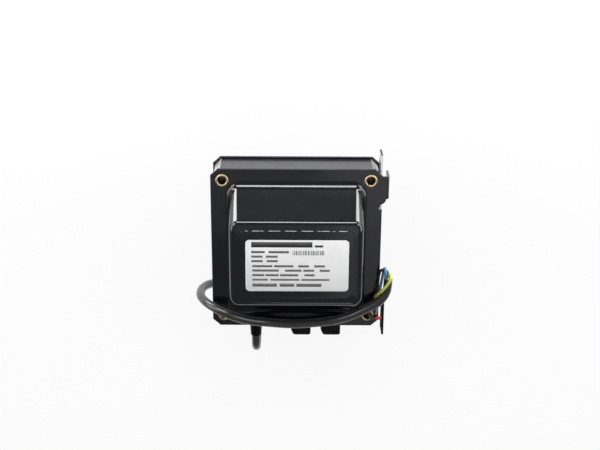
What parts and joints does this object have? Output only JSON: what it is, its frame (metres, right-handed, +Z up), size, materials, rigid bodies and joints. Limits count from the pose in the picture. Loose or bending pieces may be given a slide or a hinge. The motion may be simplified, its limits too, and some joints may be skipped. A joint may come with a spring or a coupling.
{
  "type": "ignition transformer",
  "caption": "Ignition transformer with a laminated core between two deep-drawn covers, twin high-voltage outlet sockets, a cable gland and a short supply cord.",
  "frame": {"origin": "the centre of the rear cover's flat rear face, on the floor it lies on", "axes": "+X to the right of the label as it is read, +Y towards the top of the label, +Z up out of the label, from the rear cover to the front cover"},
  "size_m": [0.1449, 0.1636, 0.0922],
  "materials": {
    "cover_paint": "gloss black stove enamel on pressed steel",
    "core_lacquer": "black lacquer over stacked steel laminations",
    "block_moulding": "black moulded thermoset",
    "insulator": "smooth black moulded plastic",
    "contact_brass": "turned brass",
    "gland_rubber": "black flexible rubber",
    "eyelet_brass": "yellow-plated, flared tube rivet",
    "bobbin": "cream moulded nylon",
    "winding": "resin-soaked enamelled copper wire",
    "strap_steel": "gloss black painted strip",
    "rivet_steel": "painted over together with the strap",
    "label": "white film label",
    "cord_jacket": "satin black rubber sheath",
    "wire_blue": "blue wire insulation",
    "wire_earth": "green and yellow wire insulation",
    "wire_brown": "brown wire insulation",
    "crimp_sleeve": "red crimp ferrule sleeve",
    "copper": "bare twisted copper strands"
  },
  "bodies": {
    "root": {"front_cover": "cover_paint", "rear_cover": "cover_paint", "core_e_stack": "core_lacquer", "core_i_stack": "core_lacquer", "terminal_block": "block_moulding", "hv_insulator_left": "insulator", "hv_insulator_right": "insulator", "hv_contact_left": "contact_brass", "hv_contact_right": "contact_brass", "cable_gland": "gland_rubber", "eyelet_top_left": "eyelet_brass", "eyelet_top_right": "eyelet_brass", "eyelet_bottom_left": "eyelet_brass", "eyelet_bottom_right": "eyelet_brass", "primary_bobbin": "bobbin", "primary_winding": "winding", "secondary_left_bobbin": "bobbin", "secondary_left_winding": "winding", "secondary_right_bobbin": "bobbin", "secondary_right_winding": "winding", "shunt_upper_left": "core_lacquer", "shunt_upper_right": "core_lacquer", "shunt_lower_left": "core_lacquer", "shunt_lower_right": "core_lacquer", "side_strap": "strap_steel", "strap_rivet_upper": "rivet_steel", "strap_rivet_lower": "rivet_steel", "rating_label": "label", "power_cord": "cord_jacket", "wire_blue": "wire_blue", "wire_earth": "wire_earth", "wire_brown": "wire_brown", "crimp_brown": "crimp_sleeve", "tip_earth": "copper", "tip_blue": "copper"}
  },
  "joints": []
}
